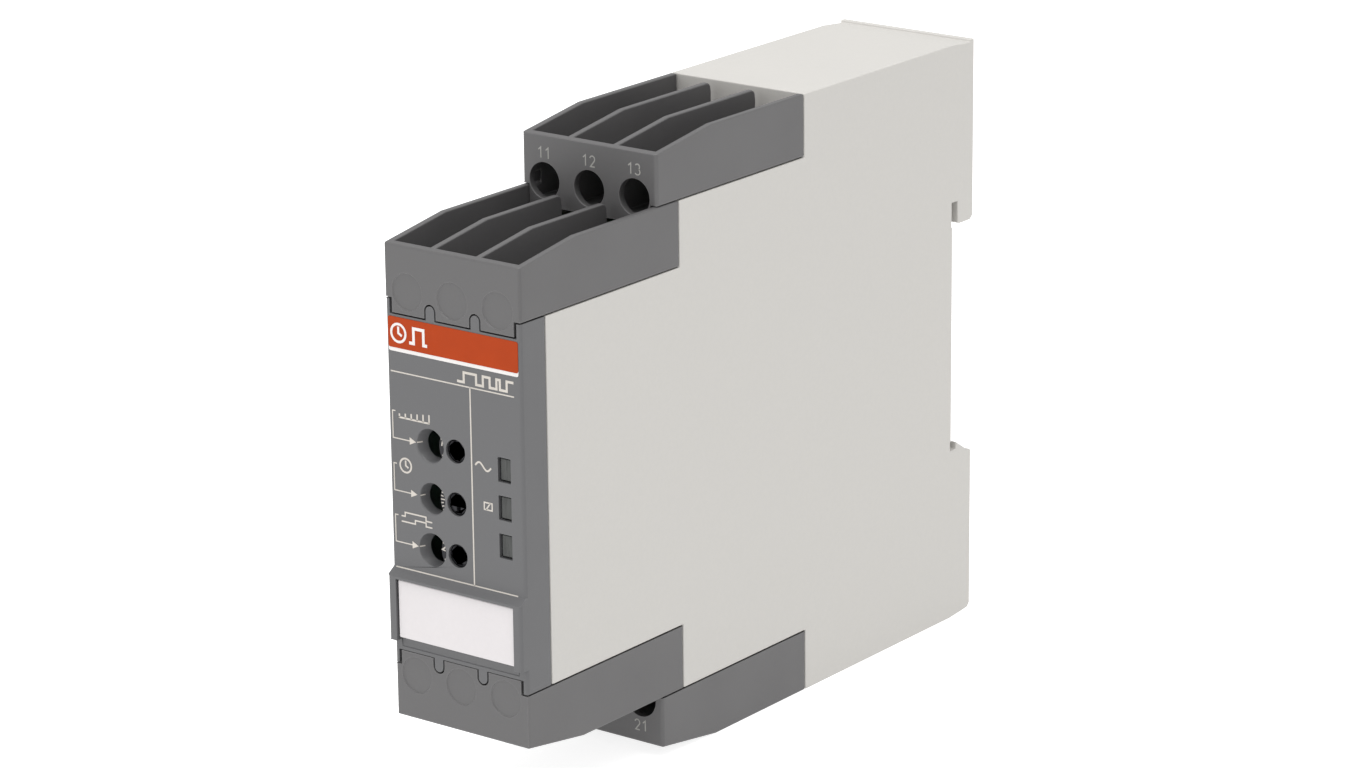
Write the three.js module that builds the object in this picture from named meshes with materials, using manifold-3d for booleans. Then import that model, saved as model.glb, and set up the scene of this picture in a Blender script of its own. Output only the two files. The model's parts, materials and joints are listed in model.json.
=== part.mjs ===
// A 22.5 mm DIN rail timer relay: moulded housing, front cover, four terminal blocks, screw clamps,
// setting dials, light pipes, circuit boards, a relay and the spring that holds it on the rail.
//
// Units are millimetres. +X is to the right seen from the front, +Y points back to the rail, +Z is up.
// The origin is the centre of the seat that bears on the rail. Pieces are drawn in "face" coordinates,
// in which y is the depth behind the front face, and the whole assembly is then moved back by SEAT_DEPTH.

import * as THREE from "three";
import { mergeVertices } from "three/addons/utils/BufferGeometryUtils.js";
import Module from "manifold-3d";

const wasm = await Module();
wasm.setup();

// ---------------------------------------------------------------- driving dimensions

const WIDTH = 22.5; // one and a quarter modules of 18 mm
const HEIGHT = 85.6; // over the walls of the rear terminal tiers
const DEPTH = 103.7; // from the label frame to the back of the legs
const SEAM = 0.2; // gap between neighbouring mouldings

const FRAME_PROUD = 1.1; // how far the label frame stands out of the front face
const SEAT_DEPTH = 97.5; // front face to rail seat
const BACK = DEPTH - FRAME_PROUD; // front face to the back of the legs

const BLOCK_HALF = 11.2; // half the width of the grey mouldings
const SHELL_HALF = WIDTH / 2;
const SHELL_WALL = 1.15; // side walls of the housing
const CAVITY_HALF = SHELL_HALF - SHELL_WALL;

const TERMINAL_PITCH = 7.5;
const TERMINAL_XS = [-TERMINAL_PITCH, 0, TERMINAL_PITCH];

// The two tiers of terminals, for the upper half. The lower half is the same, turned round the y axis.
const FRONT_TIER = {
  front: 0,
  back: 33.1,
  floorEnd: 28.2,
  dividerEnd: 26.9,
  seamZ: 25.1, // lower edge of the side skirts
  faceTopZ: 32.3,
  wallTopZ: 34.0,
  rise: 11.5, // depth over which the walls rise from the face to full height
  floorZ: 29.5,
  screwZ: 26.15,
  bodyBottomZ: 22.4,
};
const REAR_TIER = {
  front: 28.5,
  back: 61.2,
  floorEnd: 61.2,
  dividerEnd: 59.8,
  seamZ: 34.15,
  faceTopZ: 41.1,
  wallTopZ: HEIGHT / 2,
  rise: 12.0,
  floorZ: 38.4,
  screwZ: 34.9,
  bodyBottomZ: 30.6,
};
const SKIRT_WALL = 0.95;
const FACE_WALL = 1.1; // front wall of a terminal block
const DIVIDER = 0.9;
const DIVIDER_CORNER = 0.9; // radius of a divider's upper rear corner
const FLOOR = 1.0;
const SCREW_ACCESS_R = 2.5;

// Housing
const SHELL_TOP = HEIGHT / 2;
const SHELL_WALL_TB = 1.25; // top, bottom and back walls
const SHELL_FRONT = 5.1;
const REAR_DIP = { length: 4.2, drop: 0.4, lip: 1.0 }; // the top slopes down to a lip along its rear edge
const SEAT = { pad: 0.2, topZ: 16.2, bottomZ: -15.9 }; // raised pad that bears on the rail
const GROOVE = { width: 1.3, topZ: 19.8, bottomZ: -17.2 }; // the two slots for the rail's flanges
const UPPER_LIP_Z = 16.4; // lower end of the fixed upper hook
const LOWER_NOSE_Z = -16.1; // tip of the lower nose
const NOSE = { slope: 1.7, slopeLength: 1.2, tip: 2.1 }; // the lead-in on the nose that rides over the rail
const LEG_CHAMFER = 0.6;
const HOOK_CHAMFER = [0.4, 0.3];

// Front cover
const COVER_WALL = 1.5;
const COVER_EDGE_Z = 22.9; // where the cover's face meets the terminal blocks
const TONGUE_Z = 24.9; // the cover's tongues and side skirts reach this far
const TONGUE_X = 3.72;
const TONGUE_WIDTH = 1.45;
const CLOSED_SEAM = 0.06; // the cover nearly touches the lower block
const SKIRT_RIB = { inner: 9.1, back: 4.5, half: 18 }; // ribs inside the cover's side skirts
const BOARD_ARM = { outer: 9.8, front: 4.0, back: 11.5 }; // arms on the ribs that grip the front board
const CORNER_TONGUE = 0.7;

// Dials, light pipes and their boards
const DIAL_ZS = [6.1, -1.05, -8.1];
const DIAL_R = 3.3;
const DIAL_HOLE_R = 1.6;
const DIAL_DISC = [0.65, 1.35];
const DIAL_BOSS_FRONT = 0.35;
const BLIND_DISC = { r: 2.5, sunk: 0.15 }; // closed screw holes of the front tiers
const DIAL_POCKET = { r: 3.45, front: 0.5 }; // round recesses behind the face for the dials' discs
// The reading windows beside the dials: right edge, and radius at the face and at the back of the cover.
const WINDOWS = [
  { right: -1.98, front: 2.28, back: 1.88 },
  { right: -1.95, front: 2.12, back: 1.87 },
  { right: -1.98, front: 2.28, back: 1.88 },
];
const LIGHT_X = 8.05;
const LIGHT_ZS = [5.05, -0.1, -5.25];
const LIGHT_SIZE = [2.1, 3.3];
const LIGHT_SUNK = 0.35; // from the face to the window's own front
const LIGHT_GAP = 0.2;
const FRONT_BOARD = [8.6, 10.2];
const MAIN_BOARD_X = [-9.7, -8.1];

// Label
const LABEL = { half: 9.75, topZ: -13.05, bottomZ: -21.05, front: -0.75, back: 0.0 };
const LABEL_FRAME = { faceZ: -11.8, frontZ: -12.55, bottomZ: -21.5 };

// Terminal screws, cages and contact bars, for the upper half
const SCREW = {
  head: [35.6, 37.6],
  headR: 2.15,
  edge: 0.3,
  shankR: 1.35,
  tip: 45.5,
  slot: [3.0, 0.7],
  slotDepth: 1.2,
};
const CAGE = {
  half: 2.25,
  front: 41.5,
  back: 51.5,
  bottomZ: 31.4,
  topZ: 37.2,
  threadWall: 1.8,
  wall: 0.9,
  side: 0.6,
  boreR: 1.55,
};
const BAR = {
  front: 45.7,
  back: 46.5,
  half: 1.5,
  topZ: 37.0,
  footTopZ: 27.7,
  footStep: 2.6,
  footHeight: 1.2,
  reach: 8.0,
};
const CLAMP_BODY = {
  half: 9.9,
  bottomZ: 31.4,
  wellEnd: 37.75,
  chamberFront: 38.25,
  chamberBack: 53.7,
  back: 54.9,
};
const WELL = { half: 3.1, outerX: 9.7, bottomZ: 32.2 }; // the space behind a screw hole
const CHAMBER_HALF = 2.4;
const SHANK_HOLE_R = 1.6;
const ENTRY = { y: 48.2, half: [1.7, 4.0], flare: 0.75, depth: 0.7 }; // wire entries in the floor
const PAST = 1; // how far a cutting tool reaches past the surface it opens

// ---------------------------------------------------------------- materials

const material = (color, roughness, metalness = 0) =>
  new THREE.MeshStandardMaterial({ color, roughness, metalness });

const lightGrey = material(0xd6d3ce, 0.5);
const darkGrey = material(0x6f7073, 0.5);
const orange = material(0xd9481f, 0.4);
const white = material(0xf1eff0, 0.45);
const black = material(0x1b1b1d, 0.45);
const smoke = material(0x3c3d3f, 0.2);
const laminate = material(0x2f6b45, 0.5);
const steel = material(0xb9bcc0, 0.35, 0.9);
const copper = material(0xc9a15a, 0.35, 0.9);
const winding = material(0xa85a32, 0.4, 0.3);
const ferrite = material(0x2c2c30, 0.6);
const relayBlue = material(0x2b5fa8, 0.35);
const capacitorSleeve = material(0x26303f, 0.4);
const varistorBlue = material(0x2f6fb5, 0.5);
const ledBody = material(0xe9e6c8, 0.3);

// ---------------------------------------------------------------- solids

// A closed three.js geometry as a manifold-3d solid.
function solid(geometry) {
  const bare = geometry.index ? geometry.toNonIndexed() : geometry.clone();
  bare.deleteAttribute("normal");
  bare.deleteAttribute("uv");
  const merged = mergeVertices(bare, 1e-4);
  const made = new wasm.Manifold(
    new wasm.Mesh({
      numProp: 3,
      vertProperties: new Float32Array(merged.attributes.position.array),
      triVerts: new Uint32Array(merged.index.array),
    }),
  );
  return made;
}

// A manifold-3d solid as a three.js geometry.
function geometryOf(made) {
  const mesh = made.getMesh();
  const geometry = new THREE.BufferGeometry();
  geometry.setAttribute("position", new THREE.BufferAttribute(new Float32Array(mesh.vertProperties), 3));
  geometry.setIndex(new THREE.BufferAttribute(new Uint32Array(mesh.triVerts), 1));
  const flat = geometry.toNonIndexed();
  flat.computeVertexNormals();
  return flat;
}

const joined = (...solids) => solids.reduce((sum, next) => sum.add(next));
const cut = (body, ...tools) => tools.reduce((rest, tool) => rest.subtract(tool), body);

function box([x0, x1], [y0, y1], [z0, z1]) {
  const geometry = new THREE.BoxGeometry(x1 - x0, y1 - y0, z1 - z0);
  geometry.translate((x0 + x1) / 2, (y0 + y1) / 2, (z0 + z1) / 2);
  return solid(geometry);
}

const span = (centre, half) => [centre - half, centre + half];

const shapeOf = (points) => new THREE.Shape(points.map(([a, b]) => new THREE.Vector2(a, b)));

// Extrudes an outline drawn in (y, z) along x.
function prismX(points, [x0, x1]) {
  const geometry = new THREE.ExtrudeGeometry(shapeOf(points), { depth: x1 - x0, bevelEnabled: false });
  const frame = new THREE.Matrix4().makeBasis(
    new THREE.Vector3(0, 1, 0),
    new THREE.Vector3(0, 0, 1),
    new THREE.Vector3(1, 0, 0),
  );
  geometry.applyMatrix4(frame);
  geometry.translate(x0, 0, 0);
  return solid(geometry);
}

// Extrudes a three.js shape drawn in (x, z) along y.
function prismY(shape, [y0, y1]) {
  const options = { depth: y1 - y0, bevelEnabled: false, curveSegments: 8 };
  const geometry = new THREE.ExtrudeGeometry(shape, options);
  geometry.rotateX(Math.PI / 2);
  geometry.translate(0, y1, 0);
  return solid(geometry);
}

// A cylinder along y.
function rodY(x, z, radius, [y0, y1], sides = 24) {
  const geometry = new THREE.CylinderGeometry(radius, radius, y1 - y0, sides);
  geometry.translate(x, (y0 + y1) / 2, z);
  return solid(geometry);
}

// A solid of revolution about the y axis through (x, z), from a profile of [radius, y] points.
function turnedY(x, z, profile, sides = 24) {
  const points = profile.map(([r, y]) => new THREE.Vector2(r, y));
  const geometry = new THREE.LatheGeometry(points, sides);
  geometry.translate(x, 0, z);
  return solid(geometry);
}

// A cylinder along x or z.
function rod(axis, centre, radius, length, sides = 24) {
  const geometry = new THREE.CylinderGeometry(radius, radius, length, sides);
  if (axis === "x") geometry.rotateZ(Math.PI / 2);
  if (axis === "z") geometry.rotateX(Math.PI / 2);
  geometry.translate(...centre);
  return solid(geometry);
}

// A four-sided funnel that opens upwards.
function funnel(x, y, [bottomZ, topZ], [halfX, halfY], flare) {
  const height = topZ - bottomZ;
  const root2 = Math.SQRT2;
  const geometry = new THREE.CylinderGeometry(root2 * (1 + flare / halfX), root2, height, 4, 1);
  geometry.rotateY(Math.PI / 4);
  geometry.rotateX(Math.PI / 2);
  geometry.scale(halfX, halfY, 1);
  geometry.translate(x, y, (bottomZ + topZ) / 2);
  return solid(geometry);
}

const assembly = new THREE.Group();
const upperHalf = new THREE.Group();
const lowerHalf = new THREE.Group();
lowerHalf.rotation.y = Math.PI;
assembly.add(upperHalf, lowerHalf);
assembly.position.y = -SEAT_DEPTH;

function place(name, made, look, group = assembly) {
  const mesh = new THREE.Mesh(geometryOf(made), look);
  mesh.name = name;
  group.add(mesh);
}

// ---------------------------------------------------------------- housing

// The one-piece sleeve: stepped side walls, closed top, bottom and back, and the two legs that grip the rail.
function housing() {
  const stepFront = FRONT_TIER.back + SEAM;
  const stepRear = REAR_TIER.back + SEAM;
  const lowZ = FRONT_TIER.seamZ - SEAM;
  const midZ = REAR_TIER.seamZ - SEAM;
  const grooveBack = SEAT_DEPTH + GROOVE.width;
  const grooveFront = SEAT_DEPTH - SEAT.pad;
  const lipFront = BACK - REAR_DIP.lip;
  const dipStart = lipFront - REAR_DIP.length;
  const dipZ = SHELL_TOP - REAR_DIP.drop;
  const outline = [
    [SHELL_FRONT, -lowZ],
    [stepFront, -lowZ],
    [stepFront, -midZ],
    [stepRear, -midZ],
    [stepRear, -SHELL_TOP],
    [dipStart, -SHELL_TOP],
    [BACK - LEG_CHAMFER, -dipZ],
    [BACK, -dipZ + LEG_CHAMFER],
    [BACK, LOWER_NOSE_Z - NOSE.tip],
    [BACK - NOSE.slopeLength, LOWER_NOSE_Z - NOSE.slope],
    [grooveBack, LOWER_NOSE_Z],
    [grooveBack, GROOVE.bottomZ],
    [grooveFront, GROOVE.bottomZ],
    [grooveFront, SEAT.bottomZ],
    [SEAT_DEPTH, SEAT.bottomZ],
    [SEAT_DEPTH, SEAT.topZ],
    [grooveFront, SEAT.topZ],
    [grooveFront, GROOVE.topZ],
    [grooveBack, GROOVE.topZ],
    [grooveBack, UPPER_LIP_Z + HOOK_CHAMFER[1]],
    [grooveBack + HOOK_CHAMFER[0], UPPER_LIP_Z],
    [BACK - LEG_CHAMFER, UPPER_LIP_Z],
    [BACK, UPPER_LIP_Z + LEG_CHAMFER],
    [BACK, SHELL_TOP],
    [lipFront, SHELL_TOP],
    [lipFront, dipZ],
    [dipStart, SHELL_TOP],
    [stepRear, SHELL_TOP],
    [stepRear, midZ],
    [stepFront, midZ],
    [stepFront, lowZ],
    [SHELL_FRONT, lowZ],
  ];
  const inside = span(0, CAVITY_HALF);
  const innerTop = dipZ - SHELL_WALL_TB;
  const backWall = grooveFront - SHELL_WALL_TB;
  const legInside = BACK - SHELL_WALL_TB;
  return cut(
    prismX(outline, span(0, SHELL_HALF)),
    box(inside, [0, stepRear], [-HEIGHT, HEIGHT]),
    box(inside, [stepRear - PAST, backWall], span(0, midZ - SHELL_WALL_TB)),
    box(inside, [stepRear + SHELL_WALL_TB, backWall], span(0, innerTop)),
    box(inside, [backWall - PAST, legInside], [GROOVE.topZ + SHELL_WALL_TB, innerTop]),
    box(inside, [backWall - PAST, legInside], [-innerTop, LOWER_NOSE_Z - NOSE.tip - NOSE.slope]),
  );
}

// The bowed strip in the upper slot that pushes the housing up, so that the lower nose stays behind the rail.
function railSpring() {
  const halfLength = 9.4;
  const thickness = 0.4;
  const sag = 1.7;
  const endZ = GROOVE.topZ - 0.1;
  const steps = 16;
  const lower = [];
  const upper = [];
  for (let i = 0; i <= steps; i++) {
    const x = -halfLength + (2 * halfLength * i) / steps;
    const drop = sag * Math.cos((Math.PI * x) / (2 * halfLength)) ** 2;
    upper.push([x, endZ - drop]);
    lower.unshift([x, endZ - drop - thickness]);
  }
  return prismY(shapeOf([...upper, ...lower]), [SEAT_DEPTH + 0.1, SEAT_DEPTH + GROOVE.width - 0.2]);
}

// ---------------------------------------------------------------- front cover

// The outline of the cover's face with its tongues, which lock into the terminal blocks.
function coverOutline() {
  const half = BLOCK_HALF;
  const tip = TONGUE_Z;
  const r = TONGUE_WIDTH / 2;
  const shape = new THREE.Shape();
  const edge = (side) => {
    const shoulder = side > 0 ? COVER_EDGE_Z : COVER_EDGE_Z + SEAM - CLOSED_SEAM;
    const z = (v) => side * v;
    const xs = side > 0 ? [half, -half] : [-half, half];
    const way = Math.sign(xs[1] - xs[0]);
    const inner = half - CORNER_TONGUE;
    shape.lineTo(xs[0], z(tip));
    shape.lineTo(-way * inner, z(tip));
    shape.lineTo(-way * inner, z(shoulder));
    for (const x of [-way * TONGUE_X, way * TONGUE_X]) {
      shape.lineTo(x - way * r, z(shoulder));
      shape.lineTo(x - way * r, z(tip - r));
      shape.absarc(x, z(tip - r), r, side > 0 ? 0 : Math.PI, side > 0 ? Math.PI : 2 * Math.PI, false);
      shape.lineTo(x + way * r, z(shoulder));
    }
    shape.lineTo(way * inner, z(shoulder));
    shape.lineTo(way * inner, z(tip));
    shape.lineTo(xs[1], z(tip));
  };
  shape.moveTo(half, 0);
  edge(1);
  edge(-1);
  shape.lineTo(half, 0);
  return shape;
}

// A dial's reading window: a round hole that narrows inwards from the left and stays upright on the right.
function readingWindow(z, { right, front, back }) {
  const over = 0.2;
  const narrowing = (front - back) / COVER_WALL;
  const radiusAt = (y) => front - narrowing * y;
  const depth = COVER_WALL + 2 * over;
  const geometry = new THREE.CylinderGeometry(radiusAt(COVER_WALL + over), radiusAt(-over), depth, 32);
  geometry.translate(0, COVER_WALL / 2, z);
  const points = geometry.attributes.position;
  for (let i = 0; i < points.count; i += 1) {
    points.setX(i, points.getX(i) + right - radiusAt(points.getY(i)));
  }
  return solid(geometry);
}

// Mirrored copies of a box that lies between x0 and x1 on the right.
const bothSides = ([x0, x1], ys, zs) => [box([x0, x1], ys, zs), box([-x1, -x0], ys, zs)];

const STUD = { x: 7, r: 0.7, holeR: 0.85, end: 1.2 }; // clip studs on the back of the label

function frontCover() {
  const half = BLOCK_HALF;
  const plate = prismY(coverOutline(), [0, COVER_WALL]);
  const skirtIn = half - SKIRT_WALL;
  const inPlate = COVER_WALL / 2;
  const through = [-PAST, COVER_WALL + PAST];
  const frame = prismX(
    [
      [inPlate, LABEL_FRAME.faceZ],
      [0, LABEL_FRAME.faceZ],
      [-FRAME_PROUD, LABEL_FRAME.frontZ],
      [-FRAME_PROUD, LABEL_FRAME.bottomZ],
      [inPlate, LABEL_FRAME.bottomZ],
    ],
    span(0, half),
  );
  const pocketGap = 0.12;
  const pocket = box(
    span(0, LABEL.half + pocketGap),
    [-FRAME_PROUD - PAST, LABEL.back + 0.1],
    [LABEL_FRAME.bottomZ - PAST, LABEL.topZ + pocketGap],
  );
  const labelZ = (LABEL.topZ + LABEL.bottomZ) / 2;
  return cut(
    joined(
      plate,
      frame,
      ...bothSides([skirtIn, half], [inPlate, SHELL_FRONT - SEAM], span(0, TONGUE_Z)),
      ...bothSides([SKIRT_RIB.inner, half - 0.1], [inPlate, SKIRT_RIB.back], span(0, SKIRT_RIB.half)),
      ...bothSides(
        [SKIRT_RIB.inner, BOARD_ARM.outer],
        [BOARD_ARM.front, BOARD_ARM.back],
        span(0, SKIRT_RIB.half),
      ),
    ),
    pocket,
    ...[-STUD.x, STUD.x].map((x) => rodY(x, labelZ, STUD.holeR, through, 16)),
    ...DIAL_ZS.map((z) => rodY(0, z, DIAL_HOLE_R, through, 32)),
    ...DIAL_ZS.map((z) => rodY(0, z, DIAL_POCKET.r, [DIAL_POCKET.front, COVER_WALL + PAST], 40)),
    ...WINDOWS.map((window, i) => readingWindow(DIAL_ZS[i], window)),
    ...LIGHT_ZS.map((z) => box(span(LIGHT_X, LIGHT_SIZE[0] / 2), through, span(z, LIGHT_SIZE[1] / 2))),
  );
}

// The coloured foil across the top of the face.
const STRIPE = { half: 10.75, front: -0.2, back: -0.05, z: [18.45, 22.6] };
const accentStripe = () => box(span(0, STRIPE.half), [STRIPE.front, STRIPE.back], STRIPE.z);

// The white marker plate, with two clip studs on its back.
function markerLabel() {
  const z = (LABEL.topZ + LABEL.bottomZ) / 2;
  const plate = box(span(0, LABEL.half), [LABEL.front, LABEL.back], [LABEL.bottomZ, LABEL.topZ]);
  return joined(plate, ...[-STUD.x, STUD.x].map((x) => rodY(x, z, STUD.r, [LABEL.back - 0.2, STUD.end], 12)));
}

// ---------------------------------------------------------------- terminal blocks

// The side outline of a block's outer walls and dividers, down to the given height. The upper rear corner is
// rounded when a radius is given.
function wallOutline(tier, front, back, bottomZ, corner = 0) {
  const slope = (tier.wallTopZ - tier.faceTopZ) / tier.rise;
  const frontTop = tier.faceTopZ + slope * (front - tier.front);
  const steps = corner ? 4 : 0;
  const round = [];
  for (let i = 0; i <= steps; i++) {
    const turn = (Math.PI / 2) * (steps ? i / steps : 0);
    round.push([back - corner * (1 - Math.cos(turn)), tier.wallTopZ - corner * (1 - Math.sin(turn))]);
  }
  const riseEnd = [tier.front + tier.rise, tier.wallTopZ];
  return [[front, bottomZ], [back, bottomZ], ...round, riseEnd, [front, frontTop]];
}

// The side outline of a block's front wall, whose top lies in line with the rising walls.
function faceOutline(tier) {
  const back = tier.front + FACE_WALL;
  const slope = (tier.wallTopZ - tier.faceTopZ) / tier.rise;
  return [
    [tier.front, tier.seamZ],
    [back, tier.seamZ],
    [back, tier.faceTopZ + slope * FACE_WALL],
    [tier.front, tier.faceTopZ],
  ];
}

// What both tiers share: skirts, dividers, floor and face.
function blockShell(tier, faceBottomZ) {
  const inner = BLOCK_HALF - SKIRT_WALL;
  const skirt = wallOutline(tier, tier.front, tier.back, tier.seamZ);
  const dividerFront = tier.front + FACE_WALL / 2;
  const divider = wallOutline(tier, dividerFront, tier.dividerEnd, tier.floorZ - 0.5, DIVIDER_CORNER);
  return joined(
    prismX(skirt, [inner, BLOCK_HALF]),
    prismX(skirt, [-BLOCK_HALF, -inner]),
    ...[-1, 1].map((side) => prismX(divider, span((side * TERMINAL_PITCH) / 2, DIVIDER / 2))),
    box(span(0, inner + 0.2), [tier.front + 0.2, tier.floorEnd], [tier.floorZ - FLOOR, tier.floorZ]),
    prismX(faceOutline(tier), span(0, BLOCK_HALF)),
    box(span(0, inner - 0.15), [tier.front, tier.front + FACE_WALL], [faceBottomZ, tier.seamZ + 0.5]),
  );
}

// The front tier, without contacts: its screw holes are closed by thin discs, sunk a little into the face.
function frontBlock() {
  const tier = FRONT_TIER;
  const bottomZ = COVER_EDGE_Z + SEAM;
  const notch = TONGUE_WIDTH / 2 + SEAM;
  const ribHalf = 0.5;
  const inner = 9.85;
  const ribFront = 5.5;
  const ribZ = [tier.bodyBottomZ, tier.floorZ - FLOOR / 2];
  const lengthRib = (x) => box(span(x, ribHalf), [ribFront, tier.floorEnd], ribZ);
  const crossRib = (y) => box(span(0, inner), [y, y + 2 * ribHalf], ribZ);
  const tongueZ = TONGUE_Z - TONGUE_WIDTH / 2;
  const through = [-PAST, FACE_WALL + PAST];
  const ribXs = [-inner + ribHalf, -TERMINAL_PITCH / 2, TERMINAL_PITCH / 2, inner - ribHalf];
  return cut(
    joined(
      blockShell(tier, bottomZ),
      crossRib(tier.floorEnd - 2 * ribHalf),
      crossRib(ribFront),
      ...ribXs.map(lengthRib),
    ),
    ...[-TONGUE_X, TONGUE_X].map((x) =>
      joined(box(span(x, notch), through, [bottomZ - PAST, tongueZ]), rodY(x, tongueZ, notch, through, 24)),
    ),
    ...TERMINAL_XS.map((x) => rodY(x, tier.screwZ, BLIND_DISC.r, [-PAST, BLIND_DISC.sunk], 40)),
  );
}

// The rear tier: a face with three screw holes, a space behind each, the clamps' chambers and wire entries.
function rearBlock() {
  const tier = REAR_TIER;
  const underFloor = tier.floorZ - FLOOR;
  const well = (x) =>
    box(
      [Math.max(x - WELL.half, -WELL.outerX), Math.min(x + WELL.half, WELL.outerX)],
      [tier.front + FACE_WALL, CLAMP_BODY.wellEnd],
      [WELL.bottomZ, underFloor],
    );
  const chamber = (x) => {
    const ys = [CLAMP_BODY.chamberFront, CLAMP_BODY.chamberBack];
    const [low, high] = span(x, CHAMBER_HALF);
    const open = 3;
    const outwards = [x < 0 ? low - open : low, x > 0 ? high + open : high];
    const bottomZ = CLAMP_BODY.bottomZ - PAST;
    const across = box([low, high], ys, [bottomZ, underFloor]);
    const outer = box(outwards, ys, [bottomZ, tier.seamZ - SEAM]);
    return joined(across, outer);
  };
  const clampBody = box(
    span(0, CLAMP_BODY.half),
    [tier.front + FACE_WALL / 2, CLAMP_BODY.back],
    [CLAMP_BODY.bottomZ, tier.floorZ - FLOOR / 2],
  );
  return cut(
    joined(blockShell(tier, CLAMP_BODY.bottomZ), clampBody),
    ...TERMINAL_XS.flatMap((x) => [
      rodY(x, tier.screwZ, SCREW_ACCESS_R, [tier.front - PAST, tier.front + FACE_WALL + PAST], 32),
      well(x),
      rodY(x, tier.screwZ, SHANK_HOLE_R, [CLAMP_BODY.wellEnd - PAST, CLAMP_BODY.chamberFront + PAST], 20),
      chamber(x),
      box(span(x, ENTRY.half[0]), span(ENTRY.y, ENTRY.half[1]), [underFloor - PAST, tier.floorZ + PAST / 2]),
      funnel(x, ENTRY.y, [tier.floorZ - ENTRY.depth, tier.floorZ + 0.05], ENTRY.half, ENTRY.flare),
    ]),
  );
}

// ---------------------------------------------------------------- screw clamps

// A cross recess cut into a head that faces forwards.
const crossRecess = (x, z, [y0, y1], length, width) =>
  joined(
    box(span(x, length / 2), [y0, y1], span(z, width / 2)),
    box(span(x, width / 2), [y0, y1], span(z, length / 2)),
  );

function clampScrew(x) {
  const z = REAR_TIER.screwZ;
  const [headFront, headBack] = SCREW.head;
  const { headR, shankR, edge, tip } = SCREW;
  const profile = [
    [0, headFront],
    [headR - edge, headFront],
    [headR, headFront + edge],
    [headR, headBack],
    [shankR, headBack],
    [shankR, tip - edge],
    [shankR - edge, tip],
    [0, tip],
  ];
  return turnedY(x, z, profile, 20).subtract(
    crossRecess(x, z, [headFront - PAST, headFront + SCREW.slotDepth], ...SCREW.slot),
  );
}

// The rising cage: a steel frame, threaded on the screw, that draws the wire against the contact bar.
function clampCage(x) {
  const opening = [CAGE.front + CAGE.threadWall, CAGE.back - CAGE.wall];
  return cut(
    box(span(x, CAGE.half), [CAGE.front, CAGE.back], [CAGE.bottomZ, CAGE.topZ]),
    box(span(x, CAGE.half - CAGE.side), opening, [CAGE.bottomZ - PAST, CAGE.topZ + PAST]),
    rodY(x, REAR_TIER.screwZ, CAGE.boreR, [CAGE.front - PAST, opening[0] + PAST], 20),
  );
}

// A contact bar: from inside the cage down to the main board, which is on one side. Bars of a higher level
// pass under the others.
function contactBar(x, level, boardSide) {
  const away = (u) => -boardSide * u;
  const u = away(x);
  const footTopZ = BAR.footTopZ - BAR.footStep * level;
  const footZ = footTopZ - BAR.footHeight;
  const shoulderZ = level === 0 ? footTopZ + BAR.half : footTopZ;
  const outline = [
    [u - BAR.half, BAR.topZ],
    [u + BAR.half, BAR.topZ],
    [u + BAR.half, footZ],
    [-BAR.reach, footZ],
    [-BAR.reach, shoulderZ],
    [u - BAR.half, shoulderZ],
  ];
  return prismY(shapeOf(outline.map(([a, z]) => [away(a), z])), [BAR.front, BAR.back]);
}

// ---------------------------------------------------------------- setting dials and lights

const SHAFT = { r: 1.0, end: 7.4, boreR: 1.2 };
const DIAL_SLOT = { length: 2.3, width: 0.62, depth: 1.2 };
const ROTARY = { half: 3.35, corner: 0.7, front: 3.4 };
const LAMP_X = LIGHT_X - 0.1;
const LAMP = { front: 7.6, body: 0.5, half: [0.8, 0.6] };

// A dial: a disc that carries the scale, a boss with a cross recess in the face's hole, and the shaft behind.
function dial(z) {
  const [discFront, discBack] = DIAL_DISC;
  const bossR = DIAL_HOLE_R - 0.15;
  const edge = 0.15;
  const profile = [
    [0, DIAL_BOSS_FRONT],
    [bossR - edge, DIAL_BOSS_FRONT],
    [bossR, DIAL_BOSS_FRONT + edge],
    [bossR, discFront],
    [DIAL_R, discFront],
    [DIAL_R, discBack],
    [SHAFT.r, discBack],
    [SHAFT.r, SHAFT.end],
    [0, SHAFT.end],
  ];
  return turnedY(0, z, profile, 28).subtract(
    crossRecess(0, z, [-PAST, DIAL_SLOT.depth], DIAL_SLOT.length, DIAL_SLOT.width),
  );
}

// The rotary switch or potentiometer behind a dial.
function rotaryBody(z) {
  const { half, corner, front } = ROTARY;
  const flat = half - corner;
  const outline = [
    [-half, -flat],
    [-flat, -half],
    [flat, -half],
    [half, -flat],
    [half, flat],
    [flat, half],
    [-flat, half],
    [-half, flat],
  ].map(([x, dz]) => [x, z + dz]);
  return cut(
    prismY(shapeOf(outline), [front, FRONT_BOARD[0] - 0.1]),
    rodY(0, z, SHAFT.boreR, [front - PAST, SHAFT.end + 0.3], 16),
  );
}

// A light pipe: a rectangular window, a flange behind the face and a tapered guide to the lamp.
function lightPipe(z) {
  const [w, h] = LIGHT_SIZE;
  const flange = { front: COVER_WALL + 0.1, back: COVER_WALL + 0.8, rim: 0.3, right: 0.95 };
  const thick = [flange.front, flange.back];
  return joined(
    box(span(LIGHT_X, w / 2 - LIGHT_GAP), [LIGHT_SUNK, flange.back], span(z, h / 2 - LIGHT_GAP)),
    box([LIGHT_X - w / 2 - flange.rim, LIGHT_X + flange.right], thick, span(z, h / 2 + flange.rim)),
    box(span(LAMP_X, w / 2 - flange.rim), [flange.front, LAMP.front - 0.2], span(z, h / 2 - 2 * flange.rim)),
  );
}

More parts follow.
